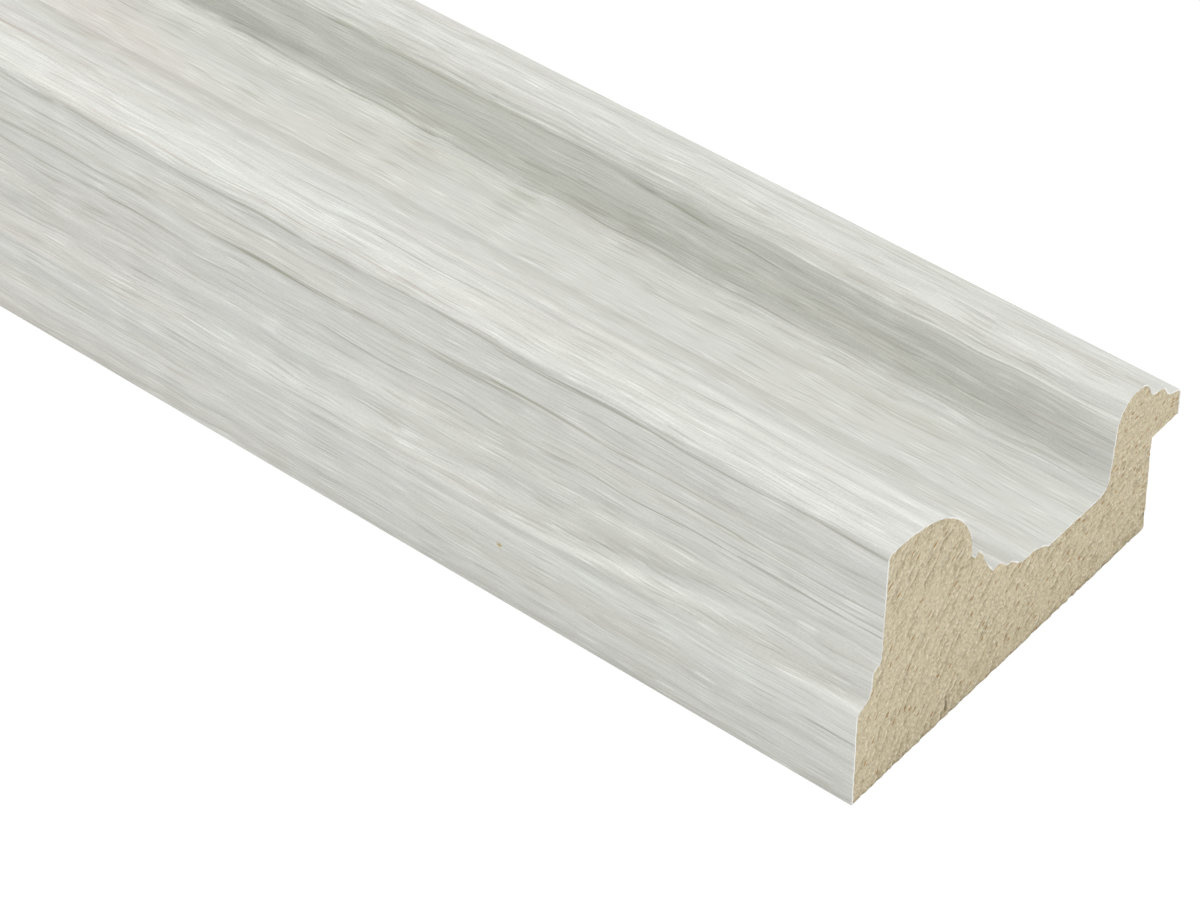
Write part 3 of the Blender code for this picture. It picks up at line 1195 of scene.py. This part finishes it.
    @staticmethod
    def lay_out(piece: bpy.types.Object, girth: Numbers, reach: Numbers) -> None:
        """Lays the print flat over most of the bake map and the rest in a strip above it.

        Args:
            piece: The skin.
            girth: Places over the face, by row and column.
            reach: Places along the stick, by row and column.
        """
        corner, wears = corners_of(piece)
        rows, columns = girth.shape
        u = np.concatenate([reach.ravel(), np.tile([reach.min(), reach.max()], rows)])
        v = np.concatenate([girth.ravel(), np.repeat(girth[:, 0], 2)])
        printed = np.column_stack([fitted(u, 0.004, 0.996), fitted(v, 0.004, 0.93)])
        plain = np.column_stack([fitted(v, 0.004, 0.996), np.where(corner_side(u), 0.955, 0.985)])
        give_bake_map(piece, np.where((wears == 0)[:, None], printed[corner], plain[corner]))


def corner_side(reach: Numbers) -> Numbers:
    """Whether each place lies nearer to the near cut."""
    return reach < (reach.min() + reach.max()) / 2


def inside(points: Numbers, outline: Numbers) -> Numbers:
    """Whether points lie in a closed outline.

    Args:
        points: Rows of x, z.
        outline: The outline's corners in order.

    Returns:
        True for each point inside.
    """
    found = np.zeros(len(points), bool)
    for (x0, z0), (x1, z1) in zip(outline, np.roll(outline, -1, axis=0)):
        spans = (z0 > points[:, 1]) != (z1 > points[:, 1])
        if z0 != z1:
            found ^= spans & (points[:, 0] < (x1 - x0) * (points[:, 1] - z0) / (z1 - z0) + x0)
    return found


@dataclass
class WoodCore:
    """The milled stick inside the film, with both sawn ends."""

    section: Section
    tears: TornGrain
    behind: float  # from the section's line to the wood
    plain_spacing: float = 0.5 * MM
    near_grain: float = 0.185 * MM
    far_grain: float = 0.45 * MM
    chip: float = 0.12 * MM
    chip_run: float = 0.6 * MM

    def outline(self) -> tuple[Numbers, int]:
        """The stick's closed section.

        Returns:
            Its points, clockwise from the foot of the outer side, and how many lie behind the film.
        """
        show = self.section.face.set_in(self.behind).points
        rabbet_x, height = self.section.rabbet_x, self.section.rabbet_height
        show[0, 1], show[-1, 1] = 0.02 * MM, height
        corners = [tuple(show[-1]), (rabbet_x, height), (rabbet_x, 0.0), (show[0, 0], 0.0)]
        plain = []
        for (x0, z0), (x1, z1) in zip(corners, corners[1:]):
            count = math.ceil(math.hypot(x1 - x0, z1 - z0) / self.plain_spacing)
            share = np.arange(1, count + 1)[:, None] / count
            plain.append(np.array([[x0, z0]]) * (1 - share) + np.array([[x1, z1]]) * share)
        return np.concatenate([show, *plain]), len(show)

    def stations(self) -> Numbers:
        """The reaches at which the stick has a ring of points, closer together near the cuts."""
        near = np.array([0, 0.2, 0.5, 1, 2, 4, 8]) * MM
        length = self.section.length
        middle = np.linspace(16 * MM, length - 16 * MM, 18)
        return np.concatenate([near, middle, length - near[::-1]])

    def chipped(self, outline: Numbers, reach: float) -> Numbers:
        """The outline at a reach, with the back's arris chipped close to the near cut.

        Args:
            outline: The section's points.
            reach: The place along the stick.

        Returns:
            The points there.
        """
        made = outline.copy()
        x = outline[:, 0]
        bite = np.maximum(Ripples(1.1 * MM, 1, 61).at(x, np.zeros(len(x))) - 0.25, 0)
        bite += 0.35 * np.maximum(Ripples(0.5 * MM, 1, 62).at(x, np.zeros(len(x))), 0)
        low = 1 - smooth_step(0, 0.3 * MM, outline[:, 1])
        made[:, 1] += self.chip * bite * low * math.exp(-((reach / self.chip_run) ** 2))
        return made

    def end_points(self, outline: Numbers, spacing: float, seed: int) -> Numbers:
        """Scatters points evenly over a cut, a little clear of its outline.

        Args:
            outline: The cut's outline.
            spacing: The distance between neighbours.
            seed: The seed of the scatter.

        Returns:
            Rows of x, z.
        """
        low, high = outline.min(0), outline.max(0)
        rows = np.arange(low[1], high[1], spacing * math.sqrt(0.75))
        columns = np.arange(low[0], high[0], spacing)
        x, z = np.meshgrid(columns, rows)
        x = x + (np.arange(len(rows)) % 2)[:, None] * spacing / 2
        points = np.column_stack([x.ravel(), z.ravel()])
        points += np.random.default_rng(seed).uniform(-0.22, 0.22, points.shape) * spacing
        keep = np.ones(len(points), bool)
        for angle in np.arange(0, math.tau, math.tau / 6):
            clear = 0.6 * spacing * np.array([math.cos(angle), math.sin(angle)])
            keep &= inside(points + clear, outline)
        return points[keep]

    def cut_faces(self, outline: Numbers, inner: Numbers) -> list[tuple[int, int, int]]:
        """Fills an outline with triangles through the points scattered in it.

        Args:
            outline: The outline's points, clockwise.
            inner: The points inside.

        Returns:
            The triangles, counter-clockwise, the outline's points counted first.
        """
        rim = len(outline)
        scale = 1 / MM  # the triangulation works best on numbers near one
        places = [Vector(place) for place in (np.concatenate([outline, inner]) * scale).tolist()]
        loop = list(range(rim))[::-1]
        _, _, faces, origins, _, _ = delaunay_2d_cdt(places, [], [loop], 1, 1e-6)
        return [tuple(origins[corner][0] for corner in face) for face in faces]

    def build(self, materials: list[bpy.types.Material]) -> bpy.types.Object:
        """Builds the stick.

        Args:
            materials: The end grain, then the long grain.

        Returns:
            The piece.
        """
        outline, shown = self.outline()
        stations = self.stations()
        rim, half = len(outline), self.section.length / 2
        rings = [self.ring(outline, reach, stations[-1]) for reach in stations]
        ends = {}
        points = [np.concatenate(rings)]
        faces = self.side_faces(rim, len(stations))
        side_count, start = len(faces), rim * len(stations)
        for end, spacing in ((CutEnd.NEAR, self.near_grain), (CutEnd.FAR, self.far_grain)):
            edge = rings[0 if end is CutEnd.NEAR else -1][:, [0, 2]]
            inner = self.end_points(edge, spacing, seed=70 + end.value)
            first = 0 if end is CutEnd.NEAR else rim * (len(stations) - 1)
            depth = self.tears.relief(inner[:, 0] * -end.value, inner[:, 1])
            y = end.value * (half - depth)
            points.append(np.column_stack([inner[:, 0], y, inner[:, 1]]))
            numbered = np.concatenate([first + np.arange(rim), start + np.arange(len(inner))])
            way = 1 if end is CutEnd.NEAR else -1
            filled = [tuple(int(numbered[corner]) for corner in face)[::way] for face in self.cut_faces(edge, inner)]
            ends[end] = (len(faces), len(faces) + len(filled))
            faces += filled
            start += len(inner)
        points = np.concatenate(points)
        wears = (np.arange(len(faces)) < side_count).astype(int)
        piece = new_piece("sawn_stick", points, faces, wears, materials)
        # The tears' marks, which the end grain's finish turns into painted shadow, highlight and shade.
        marks = np.column_stack(self.tears.marks(points[:, 0] * -np.sign(points[:, 1]), points[:, 2]))
        give_attribute(piece, TORN, marks)
        self.lay_out(piece, points, shown, rim, len(stations))
        return piece

    def ring(self, outline: Numbers, reach: float, length: float) -> Numbers:
        """The points round the stick at a reach, drawn back a little at the cuts.

        Args:
            outline: The section's points.
            reach: The place along the stick.
            length: The stick's length.

        Returns:
            Rows of x, y, z.
        """
        shape = self.chipped(outline, reach)
        y = np.full(len(shape), reach - length / 2)
        for end, there in ((CutEnd.NEAR, 0.0), (CutEnd.FAR, length)):
            if reach == there:
                y -= end.value * self.tears.relief(shape[:, 0] * -end.value, shape[:, 1]) * 0.8
        return np.column_stack([shape[:, 0], y, shape[:, 1]])

    @staticmethod
    def side_faces(rim: int, count: int) -> list[tuple[int, ...]]:
        """The quads between the rings.

        Args:
            rim: Points in a ring.
            count: Rings.

        Returns:
            The faces.
        """
        here = np.arange(rim)
        after = np.roll(here, -1)
        faces: list[tuple[int, ...]] = []
        for ring in range(count - 1):
            near, far = ring * rim, (ring + 1) * rim
            quads = np.column_stack([near + here, near + after, far + after, far + here])
            faces += [tuple(quad) for quad in quads.tolist()]
        return faces

    def lay_out(self, piece: bpy.types.Object, points: Numbers, shown: int, rim: int, rings: int) -> None:
        """Lays the near cut large on the bake map, and the far cut and the long sides below it.

        Args:
            piece: The stick.
            points: Its points.
            shown: How many points of a ring lie behind the film.
            rim: Points in a ring.
            rings: How many rings there are.
        """
        corner, wears = corners_of(piece)
        half = self.section.length / 2
        x, y, z = points.T
        width, height = np.ptp(x), np.ptp(z)
        big = 0.992 / width
        near = np.column_stack([0.004 + (x - x.min()) * big, 0.996 - height * big + z * big])
        small = 0.24 / width
        far = np.column_stack([0.752 + (x - x.min()) * small, 0.01 + z * small])
        back_scale = 0.30 / width
        girth = np.cumsum(np.concatenate([[0], np.hypot(*np.diff(points[:rim, [0, 2]], axis=0).T)]))
        behind_film = fitted(np.minimum(girth, girth[shown - 1]), 0.004, 0.04)
        plain = 0.05 + (girth - girth[shown - 1]) * back_scale
        rise = np.where(np.arange(rim) < shown, behind_film, plain)
        along = 0.004 + (y + half) / (2 * half) * 0.736
        across = np.tile(rise, rings)
        sides = np.column_stack([along[: rim * rings], across])
        sides = np.vstack([sides, np.zeros((len(points) - rim * rings, 2))])
        ends = np.where((y[corner] < 0)[:, None], near[corner], far[corner])
        give_bake_map(piece, np.where((wears == 1)[:, None], sides[corner], ends))


@dataclass
class CameraStation:
    """Where the photograph was taken from."""

    place: tuple[float, float, float] = (-366.8 * MM, -343.7 * MM, 447.0 * MM)
    azimuth: float = math.radians(-49.35)
    elevation: float = math.radians(43.16)
    roll: float = math.radians(-1.265)
    lens: float = 132.9  # on a sensor 36 wide, both in millimetres

    def build(self) -> None:
        """Sets up the camera."""
        data = bpy.data.cameras.new("camera")
        data.lens, data.sensor_width = self.lens, 36
        data.clip_start, data.clip_end = 0.01, 50
        camera = bpy.data.objects.new("camera", data)
        turn = Euler((math.pi / 2 - self.elevation, 0, self.azimuth)).to_matrix()
        turn = turn @ Matrix.Rotation(self.roll, 3, "Z")
        camera.matrix_world = Matrix.LocRotScale(Vector(self.place), turn, None)
        bpy.context.scene.collection.objects.link(camera)
        bpy.context.scene.camera = camera


@dataclass
class Studio:
    """A pale floor under an even sky, with one broad softbox overhead."""

    floor_side: float = 12.0
    floor_tone: Color = (0.86, 0.86, 0.86, 1)
    sky: float = 0.87
    softbox_side: float = 1.4
    softbox_place: tuple[float, float, float] = (-0.15, 0.25, 1.5)
    softbox_power: float = 8.5

    def build(self) -> None:
        """Sets up the floor, the sky and the lamp."""
        bpy.context.scene.view_settings.view_transform = "Standard"
        self.lay_floor()
        self.light_sky()
        self.hang_softbox()

    def lay_floor(self) -> None:
        """A floor that looks white to the camera and lights the stick as pale paper would."""
        half = self.floor_side / 2
        corners = [(-half, -half, 0.0), (half, -half, 0.0), (half, half, 0.0), (-half, half, 0.0)]
        mesh = bpy.data.meshes.new("floor")
        mesh.from_pydata(corners, [], [(0, 1, 2, 3)])
        floor = bpy.data.objects.new("floor", mesh)
        bpy.context.scene.collection.objects.link(floor)
        material, sheet, shader = new_material("studio paper", 0.9, self.floor_tone)
        shader.inputs["Base Color"].default_value = self.floor_tone
        seen = sheet.node("LightPath").outputs["Is Camera Ray"]
        faint = sheet.node("BsdfDiffuse", {"Color": (0.16, 0.16, 0.16, 1)})
        glow = sheet.node("Emission", {"Color": (1, 1, 1, 1), "Strength": 0.9})
        shown = sheet.node("AddShader", {0: faint.outputs[0], 1: glow.outputs[0]})
        mixed = sheet.node("MixShader", {0: seen, 1: shader.outputs[0], 2: shown.outputs[0]})
        out = material.node_tree.nodes["Material Output"]
        sheet.feed(out.inputs["Surface"], mixed.outputs[0])
        mesh.materials.append(material)

    def light_sky(self) -> None:
        """An even white sky, which is full white where the camera sees it."""
        world = bpy.data.worlds.new("studio sky")
        world.use_nodes = True
        bpy.context.scene.world = world
        sheet = NodeSheet(world.node_tree)
        seen = sheet.node("LightPath").outputs["Is Camera Ray"]
        sky = world.node_tree.nodes["Background"]
        sky.inputs["Color"].default_value = (1, 1, 1, 1)
        sheet.feed(sky.inputs["Strength"], sheet.ranged(seen, 0, 1, self.sky, 1))

    def hang_softbox(self) -> None:
        """A square lamp that faces straight down."""
        lamp = bpy.data.lights.new("softbox", "AREA")
        lamp.shape, lamp.size, lamp.energy = "SQUARE", self.softbox_side, self.softbox_power
        softbox = bpy.data.objects.new("softbox", lamp)
        softbox.location = self.softbox_place
        bpy.context.scene.collection.objects.link(softbox)


def stand_for(piece: bpy.types.Object, node: str) -> None:
    """Puts a piece in a solid's place, with its finish."""
    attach(piece, BODY)
    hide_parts(node)
    LOG.info("%s: %d faces, for %s", piece.name, len(piece.data.polygons), node)


def main() -> None:
    """Builds the film, the stick, the studio and the camera."""
    logging.basicConfig(level=logging.INFO, format="%(message)s")
    CameraStation().build()
    Studio().build()
    effects = Effects.build()
    section = Section.from_frame("film_wrap", spacing=0.32 * MM)
    film = FilmWrap(section)
    tears = TornGrain()
    skin = film.build([PrintedFilm().material(effects), FilmEdge().material(effects)])
    stand_for(skin, "film_wrap")
    core = WoodCore(section, tears, behind=film.thickness + 0.01 * MM)
    finishes = [SawnEndGrain(tears).material(effects), MilledWood(tears.pith).material(effects)]
    stand_for(core.build(finishes), "wood_core")


if __name__ == "__main__":
    main()
